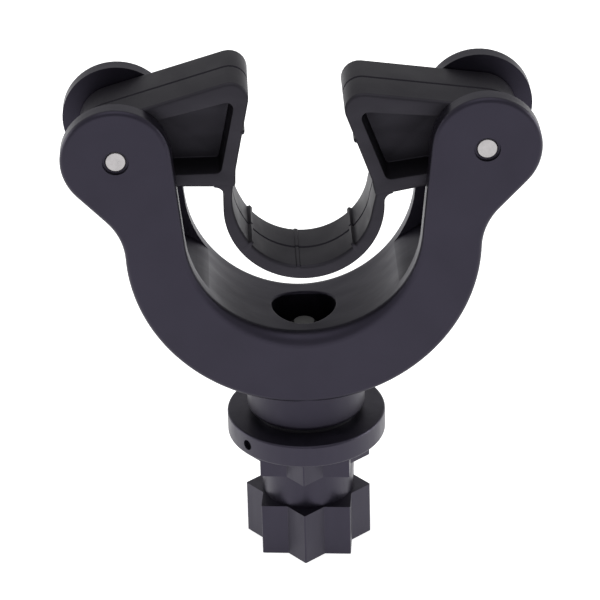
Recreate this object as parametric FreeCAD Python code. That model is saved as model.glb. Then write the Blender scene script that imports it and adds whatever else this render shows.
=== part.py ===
import FreeCAD, Part
import math
import os

# Rod holder: a U-shaped yoke on an eight-point star spigot, with two elastomer jaws on
# cross pins and a flexible strap hung between them.
# Millimetres. +Z is up, +Y points away from the front face, and the origin is on the
# spigot's axis at the underside of its flange.

Vector = FreeCAD.Vector
os.makedirs("parts", exist_ok=True)

# ---- driving dimensions ----------------------------------------------------------
YOKE_DEPTH = 28.6            # front face to back face
OUTER_ARC = (0.0, 56.2)      # centre of the outer arc of the U, in X and Z
OUTER_R = 41.2
INNER_ARC = (0.0, 60.5)      # centre of the saddle's arc
INNER_R = 27.4
EDGE_R = 1.1                 # rounding of the yoke's outline
SADDLE_EDGE_R = 3.3          # the same rounding at the lowest point of the saddle
SHOULDER_SLOPE = 47.0        # degrees, straight run from the U up to each ear
SHOULDER_R = 15.0            # hollow curve below that run
SEAM_STEP = 6.0              # where the yoke's lower and upper halves meet in the wall
SEAM_ANGLE = -8.0

PIN_X = 42.2                 # pivot pins, each side of the middle
PIN_Z = 80.0
PIN_R = 2.5
PIN_END_GAP = 0.45           # each pin end sits this far inside the face
PIN_CHAMFER = 0.3
EAR_R = 12.7
EAR_THICK = 4.4
PIN_RECESS_R = 3.05
PIN_RECESS_DEPTH = 0.7
SLOT_START = -36.0           # degrees along the saddle's arc, where each slot's floor leaves it
SLOT_ENTRY_TURN = 4.0        # degrees, the slight turn where it leaves
SLOT_LEAD = 0.8              # the slot's cutter starts this far inside the saddle
SLOT_BEND_R = 12.0           # the floor then bends over
SLOT_SLOPE = 33.0            # degrees, the floor's rise outwards after the bend

NECK_R = 14.2
NECK_BOTTOM = 6.85
NECK_EDGE_R = 1.3
ACCESS_R = 7.6               # spanner hole in the saddle
ACCESS_EDGE = 0.6
WEB_BOTTOM = 17.0            # web that the clamping nut sits on
WEB_TOP = 20.0
BOLT_HOLE_R = 3.2

STUB_R = 9.0                 # journal of the spigot inside the neck
STUB_CLEARANCE = 0.06
STUB_TOP = 16.8
FLANGE_R = 19.1
FLANGE_THICK = 5.7
FLANGE_EDGE_R = 0.5
RIM_HOLE_R = 1.3             # small blind hole in the flange's rim
RIM_HOLE_DEPTH = 1.2
RIM_HOLE_Z = 2.8
RIM_HOLE_ANGLE = -50.0       # degrees from the front, towards +X

STAR_POINTS = 8
STAR_TIP_R = 15.25
STAR_TURN = -5.4             # the star sits turned by this much under the yoke
UPPER_STAR_BOTTOM = -7.75
LOWER_STAR_TOP = -16.3
STAR_BOTTOM = -29.8
STAR_EDGE_R = 0.3
NOTCH_R = STAR_TIP_R * math.cos(math.pi / 4) / math.cos(math.pi / STAR_POINTS)
GROOVE_R = 11.1              # round core of the locking groove, between the two stars

BOLT_R = 3.0
BOLT_TOP = 29.4
BOLT_CHAMFER = 0.6
HEX_AF = 10.0                # bolt head and nut, across flats
HEX_POCKET_AF = 10.3
BOLT_HEAD_THICK = 4.0
BOLT_HEAD_BOTTOM = -29.5
WASHER_GAP = 0.1
WASHER_R = 6.0
WASHER_THICK = 1.5
NUT_THICK = 4.4
NUT_CROWN_R = 5.0            # the nut's flat top, inside its bevelled corners
NUT_COLLAR_R = 4.5
NUT_COLLAR_THICK = 1.5
RING_R = 12.6                # friction ring under the neck
RING_BORE_R = 9.1
RING_TOP = 6.7

JAW_THICK = 19.2
JAW_EDGE_R = 0.8
HUB_R = 8.6
HUB_BORE_R = 2.56
TOP_SLOPE = 16.5             # degrees
NOSE_U = 31.9                # sharp corner of the nose, before rounding
NOSE_R = 4.2
CHEEK = (27.8, -2.2)         # inner face, from the nose down to the heel
CHEEK_BEND = (27.15, -5.6)
HEEL = (27.0, -9.7)
POCKET_CORNER_R = 1.5
JAW_WEB = 3.0                # wall left between the front and back pockets
RIGHT_JAW_TURN = 8.0         # the right jaw rests turned in by this much

STRAP_CENTRE = (0.4, 64.7)
STRAP_INNER_R = 15.9
STRAP_THICK = 2.7
STRAP_GAP = 0.3              # between the two halves, at the lowest point
LEFT_STRAP_TOP = 101.0       # degrees from the lowest point
RIGHT_STRAP_TOP = 90.0


# ---- small geometry helpers ------------------------------------------------------
def point(x, z, y=0.0):
    return Vector(x, y, z)


def polar(centre, radius, degrees):
    """Point on a circle in the XZ plane, with its angle counted from +X towards +Z."""
    a = math.radians(degrees)
    return point(centre[0] + radius * math.cos(a), centre[1] + radius * math.sin(a))


def arc(centre, radius, start, end):
    middle = (start + end) / 2
    ends = [polar(centre, radius, a) for a in (start, middle, end)]
    return Part.Arc(*ends).toShape()


def prism(edges, y_from, y_to):
    """Closed outline in the XZ plane, pushed from one Y to another."""
    wire = Part.Wire(Part.__sortEdges__(edges))
    face = Part.Face(wire)
    face.translate(Vector(0, y_from, 0))
    return face.extrude(Vector(0, y_to - y_from, 0))


def upright(radius, bottom, top):
    return Part.makeCylinder(radius, top - bottom, Vector(0, 0, bottom))


def along_y(radius, x, z, y_from, y_to):
    return Part.makeCylinder(radius, y_to - y_from, Vector(x, y_from, z), Vector(0, 1, 0))


def hexagon(across_flats, bottom, top):
    corner_r = across_flats / math.sqrt(3)
    corners = [Vector(corner_r * math.cos(math.radians(60 * k)),
                      corner_r * math.sin(math.radians(60 * k)), bottom) for k in range(7)]
    return Part.Face(Part.makePolygon(corners)).extrude(Vector(0, 0, top - bottom))


def face_edges(solid, depth):
    """Edges lying wholly in the front or back face."""
    found = []
    for edge in solid.Edges:
        ends = [abs(edge.valueAt(t).y) for t in (edge.FirstParameter, edge.LastParameter)]
        if min(ends) > depth / 2 - 0.01:
            found.append(edge)
    return found


def rounded_outline(corners):
    """Closed outline through (u, w, radius) corners, with each corner rounded by an arc."""
    edges = []
    starts = []
    ends = []
    count = len(corners)
    for k, (u, w, radius) in enumerate(corners):
        here = point(u, w)
        before = point(*corners[k - 1][:2])
        after = point(*corners[(k + 1) % count][:2])
        back = (before - here).normalize()
        on = (after - here).normalize()
        half = back.getAngle(on) / 2
        reach = radius / math.tan(half)
        middle = here + (back + on).normalize() * (radius / math.sin(half) - radius)
        starts.append(here + back * reach)
        ends.append(here + on * reach)
        if radius > 0:
            edges.append(Part.Arc(starts[-1], middle, ends[-1]).toShape())
    for k in range(count):
        edges.append(Part.makeLine(ends[k - 1], starts[k]))
    return edges


# ---- yoke ------------------------------------------------------------------------
def cross_tangent_angle():
    """Angle of the normal shared by the saddle's arc and the ear's circle."""
    dx = PIN_X - INNER_ARC[0]
    dz = PIN_Z - INNER_ARC[1]
    towards_ear = math.degrees(math.atan2(dz, dx))
    return towards_ear - math.degrees(math.acos((INNER_R + EAR_R) / math.hypot(dx, dz)))


def shoulder_centre():
    """Centre of the hollow curve that touches the outer arc and the straight shoulder."""
    slope = math.radians(SHOULDER_SLOPE)
    along = Vector(math.cos(slope), 0, math.sin(slope))
    outward = Vector(math.sin(slope), 0, -math.cos(slope))
    offset = point(PIN_X, PIN_Z) + outward * (EAR_R + SHOULDER_R) - point(*OUTER_ARC)
    half_b = offset.dot(along)
    c = offset.dot(offset) - (OUTER_R + SHOULDER_R) ** 2
    step = half_b - math.sqrt(half_b ** 2 - c)
    return point(*OUTER_ARC) + offset - along * step


def yoke_half():
    """Right half of the U: a lower part with the deepening saddle edge, and an arm."""
    ear = (PIN_X, PIN_Z)
    lean = cross_tangent_angle()
    inner_end = polar(INNER_ARC, INNER_R, lean)
    in_wall = polar(INNER_ARC, INNER_R + SEAM_STEP, lean)
    outer_end = polar(OUTER_ARC, OUTER_R, SEAM_ANGLE)
    seam = [Part.makeLine(inner_end, in_wall), Part.makeLine(in_wall, outer_end)]

    lower = prism([arc(INNER_ARC, INNER_R, -90, lean),
                   arc(OUTER_ARC, OUTER_R, -90, SEAM_ANGLE),
                   Part.makeLine(polar(OUTER_ARC, OUTER_R, -90),
                                 polar(INNER_ARC, INNER_R, -90))] + seam,
                  -YOKE_DEPTH / 2, YOKE_DEPTH / 2)
    lower = round_arcs(lower, OUTER_R, EDGE_R, EDGE_R)
    lower = round_arcs(lower, INNER_R, SADDLE_EDGE_R, EDGE_R)

    hollow = shoulder_centre()
    hollow_centre = (hollow.x, hollow.z)
    away = math.degrees(math.atan2(hollow.z - OUTER_ARC[1], hollow.x - OUTER_ARC[0]))
    ear_start = SHOULDER_SLOPE - 90
    run_start = polar(hollow_centre, SHOULDER_R, ear_start + 180)
    upper = prism([arc(OUTER_ARC, OUTER_R, SEAM_ANGLE, away),
                   arc(hollow_centre, SHOULDER_R, away + 180, ear_start + 180),
                   Part.makeLine(run_start, polar(ear, EAR_R, ear_start)),
                   arc(ear, EAR_R, ear_start, lean + 180),
                   Part.makeLine(polar(ear, EAR_R, lean + 180), inner_end)] + seam,
                  -YOKE_DEPTH / 2, YOKE_DEPTH / 2)
    seam_ends = (inner_end, in_wall, outer_end)
    outline = [e for e in face_edges(upper, YOKE_DEPTH) if not is_seam(e, seam_ends)]
    upper = upper.makeFillet(EDGE_R, outline)
    return lower.fuse(upper)


def is_seam(edge, seam_ends):
    """True for an edge whose two ends both lie on the seam's corners."""
    hits = 0
    for vertex in edge.Vertexes:
        flat = point(vertex.Point.x, vertex.Point.z)
        hits += any(flat.distanceToPoint(p) < 1e-4 for p in seam_ends)
    return hits == 2


def round_arcs(solid, radius, r_start, r_end):
    """Round the front and back edges of one arc, from its lowest point to its end."""
    edges = [e for e in face_edges(solid, YOKE_DEPTH)
             if e.Curve.TypeId == "Part::GeomCircle" and abs(e.Curve.Radius - radius) < 1e-6]
    return solid.makeFillet(r_start, r_end, edges)


def neck():
    column = upright(NECK_R, NECK_BOTTOM, INNER_ARC[1] - INNER_R - SADDLE_EDGE_R - 2)
    rim = [e for e in column.Edges if e.Length > NECK_R and e.BoundBox.ZMax < NECK_BOTTOM + 0.01]
    return column.makeFillet(NECK_EDGE_R, rim)


def yoke():
    half = yoke_half()
    whole = half.fuse(half.mirror(Vector(0, 0, 0), Vector(1, 0, 0)))
    whole = whole.fuse(neck()).removeSplitter()
    slot_half = YOKE_DEPTH / 2 - EAR_THICK
    cuts = [upright(ACCESS_R, WEB_TOP, INNER_ARC[1]),
            upright(BOLT_HOLE_R, 0, WEB_TOP + 1),
            upright(STUB_R + STUB_CLEARANCE, 0, WEB_BOTTOM)]
    face = YOKE_DEPTH / 2
    for side in (-1, 1):
        x = side * PIN_X
        cuts.append(ear_slot(side, slot_half))
        cuts.append(along_y(PIN_R, x, PIN_Z, -face - 1, face + 1))
        cuts.append(along_y(PIN_RECESS_R, x, PIN_Z, -face - 1, -face + PIN_RECESS_DEPTH))
        cuts.append(along_y(PIN_RECESS_R, x, PIN_Z, face - PIN_RECESS_DEPTH, face + 1))
    for cut in cuts:
        whole = whole.cut(cut)
    return soften_access_hole(whole)


def ear_slot(side, half_width):
    """Gap between the cheeks of one arm; its floor bends off the saddle and slopes outwards."""
    start = polar(INNER_ARC, INNER_R, SLOT_START)
    entry = 90 + SLOT_START - SLOT_ENTRY_TURN
    lead = polar((start.x, start.z), -SLOT_LEAD, entry)
    centre = polar((start.x, start.z), SLOT_BEND_R, entry - 90)
    bend = arc((centre.x, centre.z), SLOT_BEND_R, entry + 90, SLOT_SLOPE + 90)
    bend_end = polar((centre.x, centre.z), SLOT_BEND_R, SLOT_SLOPE + 90)
    outer_x = PIN_X + 2 * EAR_R
    top = PIN_Z + 2 * EAR_R
    outer_z = bend_end.z + (outer_x - bend_end.x) * math.tan(math.radians(SLOT_SLOPE))
    corners = [bend_end, point(outer_x, outer_z), point(outer_x, top), point(lead.x, top),
               lead, start]
    edges = [Part.makeLine(corners[k - 1], corners[k]) for k in range(1, len(corners))]
    slot = prism(edges + [bend], -half_width, half_width)
    if side < 0:
        slot = slot.mirror(Vector(0, 0, 0), Vector(1, 0, 0))
    return slot


def soften_access_hole(solid):
    """Small rounding where the spanner hole breaks through the saddle."""
    rim = []
    for edge in solid.Edges:
        middle = edge.valueAt((edge.FirstParameter + edge.LastParameter) / 2)
        on_hole = abs(math.hypot(middle.x, middle.y) - ACCESS_R) < 0.01
        if on_hole and middle.z > WEB_TOP + 5 and edge.Length > ACCESS_R / 2:
            rim.append(edge)
    return solid.makeFillet(ACCESS_EDGE, rim)


# ---- spigot ----------------------------------------------------------------------
def star_point(index, radius, z):
    a = math.radians(STAR_TURN - 90 + index * 180 / STAR_POINTS)
    return Vector(radius * math.cos(a), radius * math.sin(a), z)


def star_column(bottom, top):
    """Two overlapped squares: points and inner corners take turns round the axis."""
    corners = [star_point(k, NOTCH_R if k % 2 else STAR_TIP_R, bottom)
               for k in range(2 * STAR_POINTS)]
    corners.append(corners[0])
    column = Part.Face(Part.makePolygon(corners)).extrude(Vector(0, 0, top - bottom))
    upright_edges = [e for e in column.Edges if e.BoundBox.ZLength > (top - bottom) / 2]
    return column.makeFillet(STAR_EDGE_R, upright_edges)


def flange():
    disc = upright(FLANGE_R, 0, FLANGE_THICK)
    rims = [e for e in disc.Edges if e.Curve.TypeId == "Part::GeomCircle"]
    disc = disc.makeFillet(FLANGE_EDGE_R, rims)
    a = math.radians(RIM_HOLE_ANGLE - 90)
    outward = Vector(math.cos(a), math.sin(a), 0)
    start = outward * (FLANGE_R - RIM_HOLE_DEPTH) + Vector(0, 0, RIM_HOLE_Z)
    return disc.cut(Part.makeCylinder(RIM_HOLE_R, RIM_HOLE_DEPTH + 1, start, outward))


def star_spigot():
    solid = flange().fuse(upright(STUB_R, FLANGE_THICK - 1, STUB_TOP))
    solid = solid.fuse(star_column(UPPER_STAR_BOTTOM, 0.0))
    solid = solid.fuse(upright(GROOVE_R, LOWER_STAR_TOP, UPPER_STAR_BOTTOM))
    solid = solid.fuse(star_column(STAR_BOTTOM, LOWER_STAR_TOP))
    solid = solid.cut(upright(BOLT_HOLE_R, STAR_BOTTOM - 1, STUB_TOP + 1))
    head_top = BOLT_HEAD_BOTTOM + BOLT_HEAD_THICK
    return solid.cut(hexagon(HEX_POCKET_AF, STAR_BOTTOM - 1, head_top)).removeSplitter()


# ---- clamping bolt and its small parts --------------------------------------------
def centre_bolt():
    head_top = BOLT_HEAD_BOTTOM + BOLT_HEAD_THICK
    shank = upright(BOLT_R, head_top - 1, BOLT_TOP)
    end = [e for e in shank.Edges if e.Length > BOLT_R and e.BoundBox.ZMin > BOLT_TOP - 0.01]
    return hexagon(HEX_AF, BOLT_HEAD_BOTTOM, head_top).fuse(shank.makeChamfer(BOLT_CHAMFER, end))


def flat_washer():
    bottom = WEB_TOP + WASHER_GAP
    ring = upright(WASHER_R, bottom, bottom + WASHER_THICK)
    return ring.cut(upright(BOLT_HOLE_R, bottom - 1, bottom + WASHER_THICK + 1))


def lock_nut():
    bottom = WEB_TOP + WASHER_GAP + WASHER_THICK
    top = bottom + NUT_THICK
    body = hexagon(HEX_AF, bottom, top)
    crown = Part.makeCone(NUT_CROWN_R + NUT_THICK / 2, NUT_CROWN_R, NUT_THICK,
                          Vector(0, 0, bottom))
    body = body.common(crown).fuse(upright(NUT_COLLAR_R, top - 0.5, top + NUT_COLLAR_THICK))
    return body.cut(upright(BOLT_R, bottom - 1, top + NUT_COLLAR_THICK + 1)).removeSplitter()


def friction_ring():
    ring = upright(RING_R, FLANGE_THICK, RING_TOP)
    return ring.cut(upright(RING_BORE_R, FLANGE_THICK - 1, RING_TOP + 1))


def pivot_pin(side):
    length = YOKE_DEPTH - 2 * PIN_END_GAP
    pin = along_y(PIN_R, side * PIN_X, PIN_Z, -length / 2, length / 2)
    rims = [e for e in pin.Edges if e.Curve.TypeId == "Part::GeomCircle"]
    return pin.makeChamfer(PIN_CHAMFER, rims)


# ---- jaws ------------------------------------------------------------------------
# Each jaw is drawn about its pin, as the left one: u points to the middle, w points up.
def jaw_outline():
    slope = math.radians(TOP_SLOPE)
    top_touch = point(-HUB_R * math.sin(slope), HUB_R * math.cos(slope))
    bottom_touch = point(0.0, -HUB_R)
    hub = Part.Arc(top_touch, point(-HUB_R, 0), bottom_touch).toShape()
    nose = point(NOSE_U, (HUB_R + NOSE_U * math.sin(slope)) / math.cos(slope))
    cheek = point(*CHEEK)
    heel = point(*HEEL)
    back = (top_touch - nose).normalize()
    down = (cheek - nose).normalize()
    half = back.getAngle(down) / 2
    reach = NOSE_R / math.tan(half)
    middle = nose + (back + down).normalize() * (NOSE_R / math.sin(half) - NOSE_R)
    nose_in = nose + back * reach
    nose_out = nose + down * reach
    return [hub,
            Part.makeLine(top_touch, nose_in),
            Part.Arc(nose_in, middle, nose_out).toShape(),
            Part.makeLine(nose_out, cheek),
            Part.Arc(cheek, point(*CHEEK_BEND), heel).toShape(),
            Part.makeLine(heel, bottom_touch)]


POCKET = [(8.0, 7.5, POCKET_CORNER_R), (27.5, 12.2, POCKET_CORNER_R),
          (23.7, -5.9, POCKET_CORNER_R), (8.0, -5.9, POCKET_CORNER_R)]


def jaw(side):
    solid = prism(jaw_outline(), -JAW_THICK / 2, JAW_THICK / 2)
    solid = solid.makeFillet(JAW_EDGE_R, face_edges(solid, JAW_THICK))
    solid = solid.cut(prism(rounded_outline(POCKET), -JAW_THICK, -JAW_WEB / 2))
    solid = solid.cut(prism(rounded_outline(POCKET), JAW_WEB / 2, JAW_THICK))
    solid = solid.cut(along_y(HUB_BORE_R, 0, 0, -JAW_THICK, JAW_THICK))
    if side > 0:
        solid.rotate(Vector(0, 0, 0), Vector(0, 1, 0), RIGHT_JAW_TURN)
        solid = solid.mirror(Vector(0, 0, 0), Vector(1, 0, 0))
    solid.translate(Vector(side * PIN_X, 0, PIN_Z))
    return solid


# ---- strap -----------------------------------------------------------------------
def strap(side):
    """Half of the strap, from near its jaw to just short of the lowest point."""
    outer_r = STRAP_INNER_R + STRAP_THICK
    gap = math.degrees(STRAP_GAP / 2 / (STRAP_INNER_R + STRAP_THICK / 2))
    top = LEFT_STRAP_TOP if side < 0 else RIGHT_STRAP_TOP
    start, end = -90 + side * gap, -90 + side * top
    edges = [arc(STRAP_CENTRE, STRAP_INNER_R, start, end),
             arc(STRAP_CENTRE, outer_r, start, end)]
    for a in (start, end):
        edges.append(Part.makeLine(polar(STRAP_CENTRE, STRAP_INNER_R, a),
                                   polar(STRAP_CENTRE, outer_r, a)))
    return prism(edges, -JAW_THICK / 2, JAW_THICK / 2)


# ---- one file for each piece -------------------------------------------------------
PIECES = {
    "yoke": yoke(),
    "star_spigot": star_spigot(),
    "centre_bolt": centre_bolt(),
    "flat_washer": flat_washer(),
    "lock_nut": lock_nut(),
    "friction_ring": friction_ring(),
    "left_pivot_pin": pivot_pin(-1),
    "right_pivot_pin": pivot_pin(1),
    "left_jaw": jaw(-1),
    "right_jaw": jaw(1),
    "left_strap": strap(-1),
    "right_strap": strap(1),
}

for name, shape in PIECES.items():
    print(name, "valid" if shape.isValid() else "INVALID", len(shape.Solids), "solid(s)",
          round(shape.Volume, 1), "mm3")
    shape.exportStep("parts/" + name + ".step")
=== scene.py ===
import math

import bmesh
import bpy
from mathutils import Matrix, Vector


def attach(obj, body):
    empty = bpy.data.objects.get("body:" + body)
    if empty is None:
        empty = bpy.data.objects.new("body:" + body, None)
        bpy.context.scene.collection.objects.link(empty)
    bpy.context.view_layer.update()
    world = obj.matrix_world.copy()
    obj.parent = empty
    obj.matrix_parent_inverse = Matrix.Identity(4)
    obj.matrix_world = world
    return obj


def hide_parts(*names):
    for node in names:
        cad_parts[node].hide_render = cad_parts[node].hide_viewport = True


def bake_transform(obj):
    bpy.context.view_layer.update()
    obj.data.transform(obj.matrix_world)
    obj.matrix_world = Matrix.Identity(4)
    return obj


# Rod holder, as photographed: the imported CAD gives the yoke, the spigot, the pins and the
# fasteners; the elastomer jaws and strap and the threaded bolt are modelled here in full.
# Lengths are in millimetres, in the row's frame; lamp places, texture scales and bump
# heights are in metres.

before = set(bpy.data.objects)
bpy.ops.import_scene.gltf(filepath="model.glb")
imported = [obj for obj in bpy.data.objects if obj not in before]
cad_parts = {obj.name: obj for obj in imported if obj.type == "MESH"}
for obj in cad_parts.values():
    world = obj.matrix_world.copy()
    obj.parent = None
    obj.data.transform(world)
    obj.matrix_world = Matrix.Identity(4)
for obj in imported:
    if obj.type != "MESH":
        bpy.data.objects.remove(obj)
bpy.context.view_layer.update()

MM = 0.001

# ---- jaws, drawn about their pin: u points to the middle, w points up ------------------
PIN_X = 42.2
PIN_Z = 80.0
JAW_DEPTH = 19.2
JAW_EDGE_R = 0.8
HUB_R = 8.6
TOP_SLOPE = 16.5             # degrees
NOSE_U = 31.9
NOSE_R = 4.2
CHEEK = (27.8, -2.2)
CHEEK_BEND = (27.15, -5.6)
HEEL = (27.0, -9.7)
NIB_HEIGHT = 0.45            # small moulding nib across the inner face
NIB_WIDTH = 1.3
NIB_W = {-1: 4.0, 1: 5.0}    # its height above the pin, left and right
JAW_TURN = {-1: 0.0, 1: 8.0}  # degrees; the right jaw rests turned in
POCKET = [(8.0, 7.5), (8.0, -5.9), (23.7, -5.9), (27.5, 12.2)]
POCKET_CORNER_R = 1.5
POCKET_RIM = 0.3             # bevel round the pocket's mouth
POCKET_DRAFT = 0.35          # each wall leans in by this much at the floor
POCKET_FLOOR_R = 0.35
JAW_WEB = 3.0
BORE_R = 2.56
BORE_BEVEL = 0.3
HEEL_R = 0.9
CHEEK_R = 4.0
NIB_R = 0.15

# ---- strap ----------------------------------------------------------------------------
STRAP_INNER = ((0.4, 65.0), 15.75)   # centre in X and Z, and radius
STRAP_OUTER = ((0.4, 64.5), 18.6)
STRAP_EDGE_R = 0.35
STRAP_LIP_R = 0.8            # fuller rounding of the inner face's front and back edges
ROOT_R = 2.4                 # hollow curve where the strap leaves the jaw
ROOT_EASE = {-1: 1.25, 1: 0.75}   # thinner by this much at the jaw, left and right
ROOT_EASE_DEGREES = {-1: 45.0, 1: 14.0}
ROOT_EASE_POWER = 1.4
ROOT_STEPS = 10
ROOT_BURIED = 1.4            # the strap's root runs on this far into the jaw
ROOT_COVER = 0.45            # and stays this far behind the jaw's inner face
ROOT_OUTER_DEPTH = 1.6       # its outer side runs in deeper, by this factor
STRAP_STEP = 1.5             # degrees between sections
SEAM_DEGREES = 266.2         # where the two halves meet, in the foot of the middle rib
TONGUE_DEGREES = 15.0        # hidden end of the right half, inside the left one
TONGUE_INSET = 0.45
TONGUE_STEPS = 6
STRAP_SIDE_GAP = 0.02        # the strap is narrower than the jaws by this much a side
RIBS = {-1: [(216.9, 0.7), (263.9, 0.25)], 1: [(316.0, 0.7)]}   # degrees and height
RIB_WIDTH = 1.1
RIB_FLANK = 2.5              # steepness of a rib's flanks

# ---- parting groove round the mouldings ----------------------------------------------
GROOVE_WIDTH = 0.9
GROOVE_DEPTH = 0.5

# ---- clamping bolt --------------------------------------------------------------------
BOLT_R = 3.0
BOLT_TOP = 29.4
BOLT_CHAMFER = 0.6
THREAD_PITCH = 1.0
THREAD_DEPTH = 0.55
THREAD_STEEPNESS = 2.6
THREAD_BOTTOM = 18.0
HEAD_BOTTOM = -29.5
HEAD_TOP = -25.5
HEAD_FLAT_R = 5.0
HEAD_BEVEL = 0.3
HEAD_BEVEL_RISE = 0.7        # height of the bevelled underside of the head
BOLT_SIDES = 48
ROWS_PER_TURN = 8


# ---- outlines in the XZ plane -----------------------------------------------------------
def polar(centre, radius, degrees):
    a = math.radians(degrees)
    return Vector((centre[0] + radius * math.cos(a), centre[1] + radius * math.sin(a)))


def arc(centre, radius, start, end, steps):
    return [polar(centre, radius, start + (end - start) * k / steps) for k in range(steps + 1)]


def direction(vector):
    return math.degrees(math.atan2(vector.y, vector.x))


def rounded(corners, steps=6):
    """Closed path through (u, w, radius) corners, with each corner rounded by an arc."""
    path = []
    for k, (u, w, radius) in enumerate(corners):
        here = Vector((u, w))
        if radius == 0:
            path.append(here)
            continue
        back = (Vector(corners[k - 1][:2]) - here).normalized()
        on = (Vector(corners[(k + 1) % len(corners)][:2]) - here).normalized()
        half = back.angle(on) / 2
        centre = here + (back + on).normalized() * radius / math.sin(half)
        reach = radius / math.tan(half)
        start = direction(here + back * reach - centre)
        turn = (direction(here + on * reach - centre) - start + 180) % 360 - 180
        path += arc(centre, radius, start, start + turn, steps)
    return path


def inset(path, distance):
    """A closed anticlockwise path, moved inwards."""
    moved = []
    for k, here in enumerate(path):
        before = (here - path[k - 1]).normalized()
        after = (path[(k + 1) % len(path)] - here).normalized()
        inward = Vector((-before.y - after.y, before.x + after.x)).normalized()
        spread = max(0.5, inward.dot(Vector((-after.y, after.x))))
        moved.append(here + inward * distance / spread)
    return moved


def quarter_round(radius, steps=5):
    """(how far in from the side, how far in from the face), from the face to the side."""
    rows = []
    for k in range(steps + 1):
        a = math.pi / 2 * k / steps
        rows.append((radius * (1 - math.sin(a)), radius * (1 - math.cos(a))))
    return rows


def side_rows(depth, radius):
    """(inset, Y) rows over a moulding's side: rounded edges and the groove halfway."""
    front = [(gap, -depth / 2 + y) for gap, y in quarter_round(radius)]
    half = GROOVE_WIDTH / 2
    groove = [(0.0, -half), (GROOVE_DEPTH, -half * 0.4),
              (GROOVE_DEPTH, half * 0.4), (0.0, half)]
    back = [(gap, -y) for gap, y in reversed(front)]
    return front + groove + back


# ---- mesh building ------------------------------------------------------------------------
def bridge(bm, first, second):
    for k in range(len(first)):
        after = (k + 1) % len(first)
        bm.faces.new((first[k], first[after], second[after], second[k]))


def bridge_all(bm, rings):
    for k in range(len(rings) - 1):
        bridge(bm, rings[k], rings[k + 1])


def fill(bm, rings):
    """Flat face bounded by the first ring, with the other rings as holes."""
    edges = []
    for ring in rings:
        for k in range(len(ring)):
            pair = (ring[k - 1], ring[k])
            edges.append(bm.edges.get(pair) or bm.edges.new(pair))
    bmesh.ops.triangle_fill(bm, use_beauty=True, edges=edges)


def finish_mesh(bm, name, sharp_degrees=38.0):
    """The built mesh as an object, smooth apart from its sharp edges."""
    bmesh.ops.recalc_face_normals(bm, faces=bm.faces)
    for face in bm.faces:
        face.smooth = True
    for edge in bm.edges:
        if len(edge.link_faces) == 2:
            edge.smooth = edge.calc_face_angle() < math.radians(sharp_degrees)
    mesh = bpy.data.meshes.new(name)
    bm.to_mesh(mesh)
    bm.free()
    obj = bpy.data.objects.new(name, mesh)
    bpy.context.scene.collection.objects.link(obj)
    return obj


# ---- jaws ---------------------------------------------------------------------------------
def jaw_point(side, u, w):
    """Jaw coordinates to X and Z in the row's frame, in millimetres."""
    a = math.radians(JAW_TURN[side])
    turned_u = u * math.cos(a) + w * math.sin(a)
    turned_w = w * math.cos(a) - u * math.sin(a)
    return Vector((side * (PIN_X - turned_u), PIN_Z + turned_w))


def jaw_place(side, point, y):
    flat = jaw_point(side, point.x, point.y)
    return Vector((flat.x, y, flat.y)) * MM


def jaw_outline(side):
    slope = math.radians(TOP_SLOPE)
    hub = [(p.x, p.y, 0) for p in arc((0, 0), HUB_R, 90 + TOP_SLOPE, 270, 28)]
    nose = Vector((NOSE_U, (HUB_R + NOSE_U * math.sin(slope)) / math.cos(slope)))
    cheek = Vector(CHEEK)
    up = (nose - cheek).normalized()
    out = Vector((up.y, -up.x))
    foot = cheek + up * ((NIB_W[side] - cheek.y) / up.y)
    crest = foot + out * NIB_HEIGHT
    half = up * NIB_WIDTH / 2
    nib = [foot - half, crest - half * 0.5, crest + half * 0.5, foot + half]
    corners = hub + [(*HEEL, HEEL_R), (*CHEEK_BEND, CHEEK_R), (*CHEEK, CHEEK_R)]
    corners += [(p.x, p.y, NIB_R) for p in nib]
    return rounded(corners + [(nose.x, nose.y, NOSE_R)], 8)


def pocket_rings(bm, side, face):
    """One lightening pocket; face is -1 for the front and 1 for the back."""
    mouth = JAW_DEPTH / 2
    floor = JAW_WEB / 2
    rows = [(-POCKET_RIM, mouth), (-POCKET_RIM * 0.3, mouth - POCKET_RIM * 0.3),
            (0.0, mouth - POCKET_RIM)]
    for gap, rise in reversed(quarter_round(POCKET_FLOOR_R)):
        rows.append((POCKET_DRAFT + gap, floor + rise))
    path = rounded([(u, w, POCKET_CORNER_R) for u, w in POCKET])
    rings = []
    for gap, y in rows:
        rings.append([bm.verts.new(jaw_place(side, p, face * y)) for p in inset(path, gap)])
    bridge_all(bm, rings)
    fill(bm, rings[-1:])
    return rings[0]


def jaw(side, material):
    bm = bmesh.new()
    outline = jaw_outline(side)
    shell = []
    for gap, y in side_rows(JAW_DEPTH, JAW_EDGE_R):
        shell.append([bm.verts.new(jaw_place(side, p, y)) for p in inset(outline, gap)])
    bridge_all(bm, shell)
    bore = []
    half = JAW_DEPTH / 2
    for radius, y in ((BORE_R + BORE_BEVEL, -half), (BORE_R, BORE_BEVEL - half),
                      (BORE_R, half - BORE_BEVEL), (BORE_R + BORE_BEVEL, half)):
        circle = arc((0, 0), radius, 0, 360, 40)[:-1]
        bore.append([bm.verts.new(jaw_place(side, p, y)) for p in circle])
    bridge_all(bm, bore)
    fill(bm, [shell[0], pocket_rings(bm, side, -1), bore[0]])
    fill(bm, [shell[-1], pocket_rings(bm, side, 1), bore[-1]])
    side_name = "left" if side < 0 else "right"
    obj = finish_mesh(bm, side_name + "_jaw_moulding")
    obj.data.materials.append(material)
    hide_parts(side_name + "_jaw")
    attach(obj, side_name + "_jaw")


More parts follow.
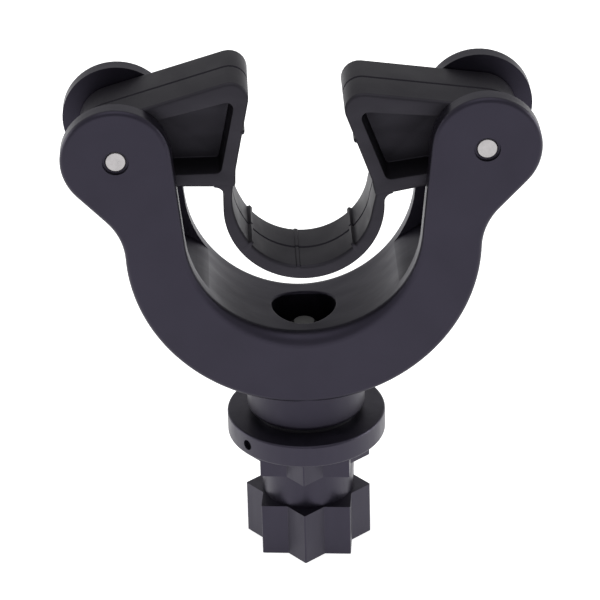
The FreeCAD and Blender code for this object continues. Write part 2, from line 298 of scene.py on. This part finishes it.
# ---- strap --------------------------------------------------------------------------------
def root_curve(side):
    """Centre of the hollow root curve, and its contact points with jaw and strap."""
    heel = jaw_point(side, *HEEL)
    along = (jaw_point(side, 0.0, -HUB_R) - heel).normalized()
    down = Vector((-along.y, along.x)) * side * -1
    middle, radius = Vector(STRAP_OUTER[0]), STRAP_OUTER[1]
    base = heel + down * ROOT_R - middle
    half_b = base.dot(along)
    step = -half_b + math.sqrt(half_b ** 2 - base.dot(base) + (radius + ROOT_R) ** 2)
    centre = middle + base + along * step
    on_strap = middle + (centre - middle).normalized() * radius
    return centre, centre - down * ROOT_R, on_strap, heel


def rib_height(side, degrees):
    height = 0.0
    per_mm = math.degrees(1 / STRAP_INNER[1])
    for middle, rise in RIBS[side]:
        away = abs(degrees - middle) / (RIB_WIDTH / 2 * per_mm)
        height = max(height, rise * min(1.0, max(0.0, (1 - away) * RIB_FLANK)))
    return height


def strap_degrees(side, start, end):
    """Section angles from the root to the end, closer together at the ribs."""
    angles = {start, end}
    count = int(abs(end - start) / STRAP_STEP)
    for k in range(1, count):
        angles.add(start + (end - start) * k / count)
    per_mm = math.degrees(1 / STRAP_INNER[1])
    for middle, _rise in RIBS[side]:
        for k in range(-5, 6):
            angles.add(middle + k * RIB_WIDTH / 10 * per_mm)
    low, high = min(start, end), max(start, end)
    kept = [a for a in angles if low <= a <= high]
    return sorted(kept, reverse=start > end)


def turn_from(centre, point, side):
    """Direction from a centre, counted on past 360 for the right-hand side."""
    degrees = direction(point - Vector(centre)) % 360
    return degrees + 360 if side > 0 and degrees < 180 else degrees


def inner_point(side, degrees, root_degrees):
    """Point on the strap's inner face, eased towards the jaw and raised at the ribs."""
    centre, radius = STRAP_INNER
    away = min(1.0, abs(degrees - root_degrees) / ROOT_EASE_DEGREES[side])
    ease = ROOT_EASE[side] * (1 - away) ** ROOT_EASE_POWER
    return polar(centre, radius + ease - rib_height(side, degrees), degrees)


def strap_sections(side):
    """(inner point, outer point, inset of the whole section) from the jaw to the end."""
    centre, on_jaw, on_strap, heel = root_curve(side)
    start = turn_from(STRAP_OUTER[0], on_strap, side)
    heel_at = turn_from(STRAP_INNER[0], heel, side)
    lift = (jaw_point(side, 0.0, 1.0) - jaw_point(side, 0.0, 0.0)) * ROOT_BURIED
    cover = jaw_point(side, HEEL[0] - ROOT_COVER, HEEL[1] + ROOT_BURIED)
    sections = [(cover + lift, on_jaw + lift * ROOT_OUTER_DEPTH, TONGUE_INSET),
                (cover, on_jaw + lift, 0.0)]
    first = direction(on_jaw - centre)
    turn = (direction(on_strap - centre) - first + 180) % 360 - 180
    for k in range(ROOT_STEPS):
        share = k / ROOT_STEPS
        inner = inner_point(side, heel_at + (start - heel_at) * share, heel_at)
        sections.append((inner, polar(centre, ROOT_R, first + turn * share), 0.0))
    for degrees in strap_degrees(side, start, SEAM_DEGREES):
        inner = inner_point(side, degrees, heel_at)
        sections.append((inner, polar(*STRAP_OUTER, degrees), 0.0))
    if side > 0:
        for k in range(TONGUE_STEPS + 1):
            degrees = SEAM_DEGREES - TONGUE_DEGREES * k / TONGUE_STEPS
            inner = polar(*STRAP_INNER, degrees)
            sections.append((inner, polar(*STRAP_OUTER, degrees), TONGUE_INSET))
    return sections


def strap_ring(bm, inner, outer, smaller):
    """One closed section of the strap, from its inner and outer points."""
    across = (outer - inner).normalized()
    depth = JAW_DEPTH - 2 * (STRAP_SIDE_GAP + smaller)
    inside = side_rows(depth, STRAP_LIP_R)
    outside = side_rows(depth, STRAP_EDGE_R)
    ring = []
    for start, way, order in ((inner, across, inside), (outer, -across, outside[::-1])):
        for gap, y in order:
            p = start + way * (gap + smaller)
            ring.append(bm.verts.new(Vector((p.x, y, p.y)) * MM))
    return ring


def strap(side, material):
    bm = bmesh.new()
    rings = [strap_ring(bm, *section) for section in strap_sections(side)]
    bridge_all(bm, rings)
    for ring in (rings[0], rings[-1]):
        fill(bm, [ring])
    side_name = "left" if side < 0 else "right"
    obj = finish_mesh(bm, side_name + "_strap_band")
    obj.data.materials.append(material)
    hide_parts(side_name + "_strap")
    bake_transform(obj)


# ---- clamping bolt --------------------------------------------------------------------------
def hex_radius(degrees):
    """Distance from the axis to a hexagon's side, in the given direction."""
    return HEAD_FLAT_R / math.cos(math.radians((degrees + 30) % 60 - 30))


def thread_radius(degrees, z):
    """Radius of a single-start thread, with V-shaped valleys and narrow crests."""
    turns = (z / THREAD_PITCH - degrees / 360) % 1
    return BOLT_R - THREAD_DEPTH * max(0.0, 1 - abs(turns - 0.5) * THREAD_STEEPNESS)


def bolt_ring(bm, radius_at, z):
    ring = []
    for k in range(BOLT_SIDES):
        degrees = 360 * k / BOLT_SIDES
        p = polar((0, 0), radius_at(degrees), degrees)
        ring.append(bm.verts.new(Vector((p.x, p.y, z)) * MM))
    return ring


def bolt(material):
    bm = bmesh.new()
    bevelled = HEAD_FLAT_R + 0.1
    rings = [bolt_ring(bm, lambda a: min(hex_radius(a), bevelled) - HEAD_BEVEL, HEAD_BOTTOM),
             bolt_ring(bm, lambda a: min(hex_radius(a), bevelled), HEAD_BOTTOM + 0.2),
             bolt_ring(bm, hex_radius, HEAD_BOTTOM + HEAD_BEVEL_RISE),
             bolt_ring(bm, hex_radius, HEAD_TOP - 0.1),
             bolt_ring(bm, lambda a: hex_radius(a) - 0.1, HEAD_TOP),
             bolt_ring(bm, lambda a: BOLT_R, HEAD_TOP),
             bolt_ring(bm, lambda a: BOLT_R, THREAD_BOTTOM)]
    rows = int((BOLT_TOP - THREAD_BOTTOM) / THREAD_PITCH * ROWS_PER_TURN)
    for k in range(1, rows + 1):
        z = THREAD_BOTTOM + (BOLT_TOP - THREAD_BOTTOM) * k / rows
        limit = BOLT_R - max(0.0, z - BOLT_TOP + BOLT_CHAMFER)
        rings.append(bolt_ring(bm, lambda a: min(thread_radius(a, z), limit), z))
    bridge_all(bm, rings)
    fill(bm, [rings[0]])
    fill(bm, [rings[-1]])
    obj = finish_mesh(bm, "threaded_bolt")
    obj.data.materials.append(material)
    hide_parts("centre_bolt")
    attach(obj, "spigot")


# ---- materials --------------------------------------------------------------------------------
def new_material(name):
    material = bpy.data.materials.new(name)
    material.use_nodes = True
    nodes = material.node_tree.nodes
    return material, nodes, material.node_tree.links, nodes["Principled BSDF"]


def stretched(nodes, links, scale):
    """Object coordinates in metres, scaled along each axis."""
    place = nodes.new("ShaderNodeTexCoord")
    mapping = nodes.new("ShaderNodeMapping")
    mapping.inputs["Scale"].default_value = scale
    links.new(place.outputs["Object"], mapping.inputs["Vector"])
    return mapping.outputs["Vector"]


def noise(nodes, links, scale, detail, stretch=(1, 1, 1)):
    node = nodes.new("ShaderNodeTexNoise")
    node.inputs["Scale"].default_value = scale
    node.inputs["Detail"].default_value = detail
    links.new(stretched(nodes, links, stretch), node.inputs["Vector"])
    return node.outputs[0]


def spread(nodes, links, value, low, high):
    """The middle of a noise value's range, stretched over low to high."""
    node = nodes.new("ShaderNodeMapRange")
    node.inputs["From Min"].default_value = 0.3
    node.inputs["From Max"].default_value = 0.7
    node.inputs["To Min"].default_value = low
    node.inputs["To Max"].default_value = high
    links.new(value, node.inputs["Value"])
    return node.outputs["Result"]


def two_tone(nodes, links, value, dark, light):
    ramp = nodes.new("ShaderNodeValToRGB")
    ramp.color_ramp.elements[0].position = 0.32
    ramp.color_ramp.elements[0].color = (*dark, 1)
    ramp.color_ramp.elements[1].position = 0.68
    ramp.color_ramp.elements[1].color = (*light, 1)
    links.new(value, ramp.inputs["Fac"])
    return ramp.outputs["Color"]


def bumps(nodes, links, bsdf, layers):
    """Chain of bump nodes, one for each (value, strength, distance in metres)."""
    normal = None
    for value, strength, distance in layers:
        bump = nodes.new("ShaderNodeBump")
        bump.inputs["Strength"].default_value = strength
        bump.inputs["Distance"].default_value = distance
        links.new(value, bump.inputs["Height"])
        if normal:
            links.new(normal, bump.inputs["Normal"])
        normal = bump.outputs["Normal"]
    links.new(normal, bsdf.inputs["Normal"])


def moulded(name, colour, tone, roughness, specular, sheen, grain, flow):
    """Moulded plastic or rubber: clouded colour, fine grain and long flow marks.

    The colour varies by tone, sheen tints the highlights, grain is the strength of the fine
    bumps, and flow squeezes the marks along each axis.
    """
    material, nodes, links, bsdf = new_material(name)
    clouds = noise(nodes, links, 140, 4)
    dark = [c * (1 - tone) for c in colour]
    light = [c * (1 + tone) for c in colour]
    links.new(two_tone(nodes, links, clouds, dark, light), bsdf.inputs["Base Color"])
    marks = noise(nodes, links, 90, 5, flow)
    links.new(spread(nodes, links, marks, roughness - 0.06, roughness + 0.06),
              bsdf.inputs["Roughness"])
    bsdf.inputs["Specular IOR Level"].default_value = specular
    bsdf.inputs["Specular Tint"].default_value = (*sheen, 1)
    fine = noise(nodes, links, 3200, 3)
    soft = noise(nodes, links, 420, 2, flow)
    bumps(nodes, links, bsdf, [(soft, 0.07, 0.00012), (fine, grain, 0.00004)])
    return material


def turned_steel(name, colour, roughness, axis_x, axis_z):
    """Turned steel: fine rings round a line along Y, with faint mottled stains."""
    material, nodes, links, bsdf = new_material(name)
    place = nodes.new("ShaderNodeTexCoord")
    shift = nodes.new("ShaderNodeMapping")
    shift.inputs["Location"].default_value = (-axis_x * MM, 0, -axis_z * MM)
    shift.inputs["Scale"].default_value = (1, 0, 1)
    links.new(place.outputs["Object"], shift.inputs["Vector"])
    length = nodes.new("ShaderNodeVectorMath")
    length.operation = "LENGTH"
    links.new(shift.outputs["Vector"], length.inputs[0])
    rings = nodes.new("ShaderNodeTexNoise")
    rings.noise_dimensions = "1D"
    rings.inputs["Scale"].default_value = 5200
    rings.inputs["Detail"].default_value = 2
    links.new(length.outputs["Value"], rings.inputs["W"])
    stains = noise(nodes, links, 700, 3)
    dark = [c * 0.8 for c in colour]
    links.new(two_tone(nodes, links, stains, dark, colour), bsdf.inputs["Base Color"])
    bsdf.inputs["Metallic"].default_value = 1.0
    links.new(spread(nodes, links, stains, roughness - 0.06, roughness + 0.08),
              bsdf.inputs["Roughness"])
    bumps(nodes, links, bsdf, [(rings.outputs[0], 0.25, 0.00003)])
    return material


# ---- studio -----------------------------------------------------------------------------------
CAMERA_TARGET = Vector((-0.86, 0.0, 35.05)) * MM
CAMERA_DISTANCE = 727.9 * MM
CAMERA_AZIMUTH = -1.463      # degrees
CAMERA_ELEVATION = 28.818
CAMERA_ROLL = -1.455
CAMERA_LENS = 183.8
FLOOR_Z = -29.9
FLOOR_GLOW = 0.70
WORLD_STRENGTH = 0.60


def make_camera():
    a, e, r = (math.radians(v) for v in (CAMERA_AZIMUTH, CAMERA_ELEVATION, CAMERA_ROLL))
    back = Vector((math.sin(a) * math.cos(e), -math.cos(a) * math.cos(e), math.sin(e)))
    level = Vector((math.cos(a), math.sin(a), 0.0))
    upright = back.cross(level)
    right = level * math.cos(r) + upright * math.sin(r)
    up = upright * math.cos(r) - level * math.sin(r)
    data = bpy.data.cameras.new("camera")
    data.lens = CAMERA_LENS
    data.sensor_width = 36.0
    data.clip_start = 0.01
    data.clip_end = 20.0
    camera = bpy.data.objects.new("camera", data)
    bpy.context.scene.collection.objects.link(camera)
    rotation = Matrix((right, up, back)).transposed().to_4x4()
    camera.matrix_world = Matrix.Translation(CAMERA_TARGET + back * CAMERA_DISTANCE) @ rotation
    bpy.context.scene.camera = camera


def softbox(name, position, aim, size, power):
    data = bpy.data.lights.new(name, "AREA")
    data.shape = "SQUARE"
    data.size = size
    data.energy = power
    lamp = bpy.data.objects.new(name, data)
    bpy.context.scene.collection.objects.link(lamp)
    lamp.location = position
    lamp.rotation_euler = (Vector(aim) - Vector(position)).to_track_quat("-Z", "Y").to_euler()


def make_world(strength):
    world = bpy.data.worlds.new("studio")
    bpy.context.scene.world = world
    world.use_nodes = True
    world.node_tree.nodes["Background"].inputs[0].default_value = (1, 1, 1, 1)
    world.node_tree.nodes["Background"].inputs[1].default_value = strength


def make_floor():
    mesh = bpy.data.meshes.new("floor")
    half = 3.0
    z = FLOOR_Z * MM
    corners = [(-half, -half, z), (half, -half, z), (half, half, z), (-half, half, z)]
    mesh.from_pydata(corners, [], [(0, 1, 2, 3)])
    floor = bpy.data.objects.new("floor", mesh)
    bpy.context.scene.collection.objects.link(floor)
    material, nodes, links, bsdf = new_material("pale_floor")
    bsdf.inputs["Base Color"].default_value = (0.95, 0.95, 0.95, 1)
    bsdf.inputs["Roughness"].default_value = 0.9
    bsdf.inputs["Specular IOR Level"].default_value = 0.2
    bsdf.inputs["Emission Color"].default_value = (1, 1, 1, 1)
    bsdf.inputs["Emission Strength"].default_value = FLOOR_GLOW
    mesh.materials.append(material)


def paint(node, material):
    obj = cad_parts[node]
    obj.data.materials.clear()
    obj.data.materials.append(material)


ELASTOMER = moulded("jaw_elastomer", (0.0016, 0.0014, 0.0017), 0.25, 0.54, 0.43,
                    (0.86, 0.81, 1.0), 0.26, (1, 1, 3))
YOKE_NYLON = moulded("yoke_nylon", (0.0024, 0.0021, 0.0034), 0.15, 0.42, 0.46,
                     (0.77, 0.70, 1.0), 0.16, (1, 3, 1))
SPIGOT_NYLON = moulded("spigot_nylon", (0.0028, 0.0025, 0.0042), 0.15, 0.40, 0.55,
                       (0.78, 0.71, 1.0), 0.16, (4, 4, 1))
ACETAL = moulded("ring_acetal", (0.008, 0.008, 0.009), 0.10, 0.35, 0.5,
                 (0.9, 0.9, 1.0), 0.08, (1, 1, 4))
PIN_COLOUR = (0.385, 0.37, 0.375)
PIN_ROUGHNESS = 0.30
# Near-black steel for the bolt, nut and washer: this dark colour is painted shade for their
# place deep in the shadowed hole under the saddle.
SHADE_DARKENED_STEEL = turned_steel("shade_darkened_bolt_steel", (0.11, 0.11, 0.11), 0.42, 0.0, 0.0)

paint("yoke", YOKE_NYLON)
paint("star_spigot", SPIGOT_NYLON)
paint("friction_ring", ACETAL)
paint("flat_washer", SHADE_DARKENED_STEEL)
paint("lock_nut", SHADE_DARKENED_STEEL)
for name, pin_x in (("left", -PIN_X), ("right", PIN_X)):
    steel = turned_steel(name + "_pin_steel", PIN_COLOUR, PIN_ROUGHNESS, pin_x, PIN_Z)
    paint(name + "_pivot_pin", steel)

for side in (-1, 1):
    jaw(side, ELASTOMER)
    strap(side, ELASTOMER)
bolt(SHADE_DARKENED_STEEL)

make_camera()
make_world(WORLD_STRENGTH)
make_floor()
softbox("top_box", (0.0, -0.25, 1.3), (0, -0.1, 0), 1.2, 5.0)
softbox("left_box", (-0.9, 0.15, 0.10), (0, 0, 0), 0.5, 2.8)
softbox("right_box", (0.9, 0.15, 0.10), (0, 0, 0), 0.5, 4.0)
bpy.context.scene.view_settings.view_transform = "Standard"
